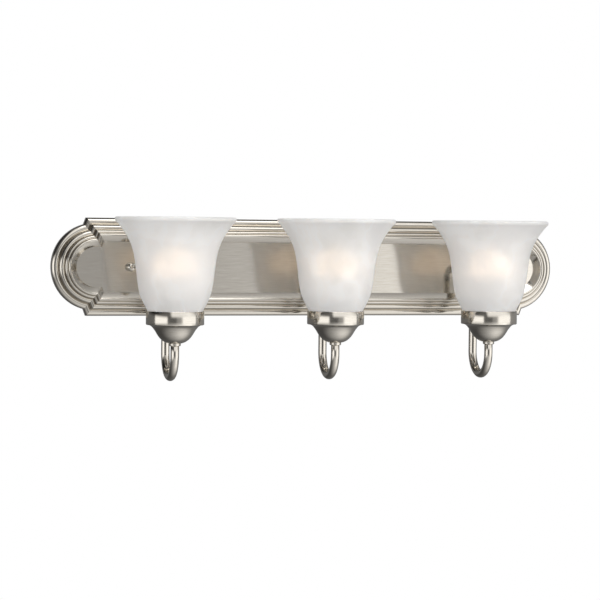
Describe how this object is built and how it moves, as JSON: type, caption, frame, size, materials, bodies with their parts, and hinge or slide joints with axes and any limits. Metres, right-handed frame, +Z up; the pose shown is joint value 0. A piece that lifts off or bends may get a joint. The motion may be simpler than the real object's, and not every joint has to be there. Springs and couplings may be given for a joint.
{
  "type": "vanity light bar",
  "caption": "Wall-mounted vanity light bar: rounded stepped backplate, U-shaped tube arms, cups and upward bell-shaped alabaster glass shades with lamps.",
  "frame": {"origin": "centre of the mounting bar's middle hole, in the wall plane", "axes": "+X along the bar, +Y into the wall, so the front faces -Y, +Z up"},
  "size_m": [0.6094, 0.1809, 0.182],
  "materials": {
    "satin_nickel_plate": "satin nickel plate on pressed steel, lacquered to a soft gloss",
    "satin_nickel_tube": "satin nickel on round tube, polished",
    "satin_nickel_cup": "satin nickel on spun steel, brushed round the axis",
    "zinc_steel": "zinc-plated steel",
    "green_screw": "green-dyed screw head",
    "copper_wire": "bare drawn copper",
    "black_wire": "PVC insulation",
    "white_wire": "PVC insulation",
    "connector_plastic": "moulded wire connector",
    "phenolic": "pressed phenolic resin",
    "brass_contact": "stamped brass",
    "fibre_gasket": "pressed fibre washer",
    "solder": "tinned contact tip",
    "lamp_cap": "rolled aluminium screw cap",
    "filament": "coiled tungsten on a glass stem, lit",
    "alabaster_glass": "frosted alabaster glass with white veins",
    "bulb_glass": "inside-frosted bulb glass"
  },
  "bodies": {
    "fixture": {"backplate": "satin_nickel_plate", "mounting_bar": "zinc_steel", "mounting_studs": "zinc_steel", "stud_lock_nuts": "zinc_steel", "ground_screw": "green_screw", "ground_wire": "copper_wire", "line_wires": "black_wire", "neutral_wires": "white_wire", "wire_connectors": "connector_plastic", "arm_collars": "satin_nickel_tube", "arm_lock_washers": "zinc_steel", "arm_lock_nuts": "zinc_steel", "cup_collars": "satin_nickel_tube", "cup_lock_nuts": "zinc_steel", "arm_1": "satin_nickel_tube", "cup_1": "satin_nickel_cup", "socket_body_1": "phenolic", "socket_shell_1": "brass_contact", "socket_contact_1": "brass_contact", "shade_1": "alabaster_glass", "arm_2": "satin_nickel_tube", "cup_2": "satin_nickel_cup", "socket_body_2": "phenolic", "socket_shell_2": "brass_contact", "socket_contact_2": "brass_contact", "shade_2": "alabaster_glass", "arm_3": "satin_nickel_tube", "cup_3": "satin_nickel_cup", "socket_body_3": "phenolic", "socket_shell_3": "brass_contact", "socket_contact_3": "brass_contact", "shade_3": "alabaster_glass"},
    "lamp_1_tip": {"lamp_foot_1": "solder"},
    "lamp_1": {"lamp_base_1": "lamp_cap", "lamp_glass_1": "bulb_glass", "lamp_filament_1": "filament"},
    "gasket_1": {"shade_gasket_1": "fibre_gasket"},
    "ring_1": {"shade_ring_1": "phenolic"},
    "lamp_2_tip": {"lamp_foot_2": "solder"},
    "lamp_2": {"lamp_base_2": "lamp_cap", "lamp_glass_2": "bulb_glass", "lamp_filament_2": "filament"},
    "gasket_2": {"shade_gasket_2": "fibre_gasket"},
    "ring_2": {"shade_ring_2": "phenolic"},
    "lamp_3_tip": {"lamp_foot_3": "solder"},
    "lamp_3": {"lamp_base_3": "lamp_cap", "lamp_glass_3": "bulb_glass", "lamp_filament_3": "filament"},
    "gasket_3": {"shade_gasket_3": "fibre_gasket"},
    "ring_3": {"shade_ring_3": "phenolic"},
    "washer_1": {"nut_washer_1": "satin_nickel_tube"},
    "nut_1": {"ball_nut_1": "satin_nickel_tube"},
    "washer_2": {"nut_washer_2": "satin_nickel_tube"},
    "nut_2": {"ball_nut_2": "satin_nickel_tube"}
  },
  "joints": [
    {"name": "lamp_1_lift", "type": "slide", "parent": "fixture", "child": "lamp_1_tip", "axis": [0, 0, 1], "range_m": [0, 0.02177]},
    {"name": "lamp_1_turn", "type": "hinge", "parent": "lamp_1_tip", "child": "lamp_1", "pos_m": [-0.184, -0.1143, 0], "axis": [0, 0, 1], "range_deg": [0, 2172]},
    {"name": "ring_1_lift", "type": "slide", "parent": "fixture", "child": "gasket_1", "axis": [0, 0, 1], "range_m": [0, 0.012]},
    {"name": "ring_1_turn", "type": "hinge", "parent": "gasket_1", "child": "ring_1", "pos_m": [-0.184, -0.1143, 0], "axis": [0, 0, 1], "range_deg": [0, 2172]},
    {"name": "lamp_2_lift", "type": "slide", "parent": "fixture", "child": "lamp_2_tip", "axis": [0, 0, 1], "range_m": [0, 0.02177]},
    {"name": "lamp_2_turn", "type": "hinge", "parent": "lamp_2_tip", "child": "lamp_2", "pos_m": [0, -0.1143, 0], "axis": [0, 0, 1], "range_deg": [0, 2172]},
    {"name": "ring_2_lift", "type": "slide", "parent": "fixture", "child": "gasket_2", "axis": [0, 0, 1], "range_m": [0, 0.012]},
    {"name": "ring_2_turn", "type": "hinge", "parent": "gasket_2", "child": "ring_2", "pos_m": [0, -0.1143, 0], "axis": [0, 0, 1], "range_deg": [0, 2172]},
    {"name": "lamp_3_lift", "type": "slide", "parent": "fixture", "child": "lamp_3_tip", "axis": [0, 0, 1], "range_m": [0, 0.02177]},
    {"name": "lamp_3_turn", "type": "hinge", "parent": "lamp_3_tip", "child": "lamp_3", "pos_m": [0.184, -0.1143, 0], "axis": [0, 0, 1], "range_deg": [0, 2172]},
    {"name": "ring_3_lift", "type": "slide", "parent": "fixture", "child": "gasket_3", "axis": [0, 0, 1], "range_m": [0, 0.012]},
    {"name": "ring_3_turn", "type": "hinge", "parent": "gasket_3", "child": "ring_3", "pos_m": [0.184, -0.1143, 0], "axis": [0, 0, 1], "range_deg": [0, 2172]},
    {"name": "nut_1_lift", "type": "slide", "parent": "fixture", "child": "washer_1", "axis": [0, -1, 0], "range_m": [0, 0.0079]},
    {"name": "nut_1_turn", "type": "hinge", "parent": "washer_1", "child": "nut_1", "pos_m": [-0.216, -0.02, 0], "axis": [0, -1, 0], "range_deg": [0, 3610]},
    {"name": "nut_2_lift", "type": "slide", "parent": "fixture", "child": "washer_2", "axis": [0, -1, 0], "range_m": [0, 0.0079]},
    {"name": "nut_2_turn", "type": "hinge", "parent": "washer_2", "child": "nut_2", "pos_m": [0.216, -0.02, 0], "axis": [0, -1, 0], "range_deg": [0, 3610]}
  ],
  "couplings": [
    {"joint": "lamp_1_turn", "follows": "lamp_1_lift", "rad_per_m": 1731.4},
    {"joint": "ring_1_turn", "follows": "ring_1_lift", "rad_per_m": 3141.6},
    {"joint": "lamp_2_turn", "follows": "lamp_2_lift", "rad_per_m": 1731.4},
    {"joint": "ring_2_turn", "follows": "ring_2_lift", "rad_per_m": 3141.6},
    {"joint": "lamp_3_turn", "follows": "lamp_3_lift", "rad_per_m": 1731.4},
    {"joint": "ring_3_turn", "follows": "ring_3_lift", "rad_per_m": 3141.6},
    {"joint": "nut_1_turn", "follows": "nut_1_lift", "rad_per_m": 7915.8},
    {"joint": "nut_2_turn", "follows": "nut_2_lift", "rad_per_m": 7915.8}
  ]
}
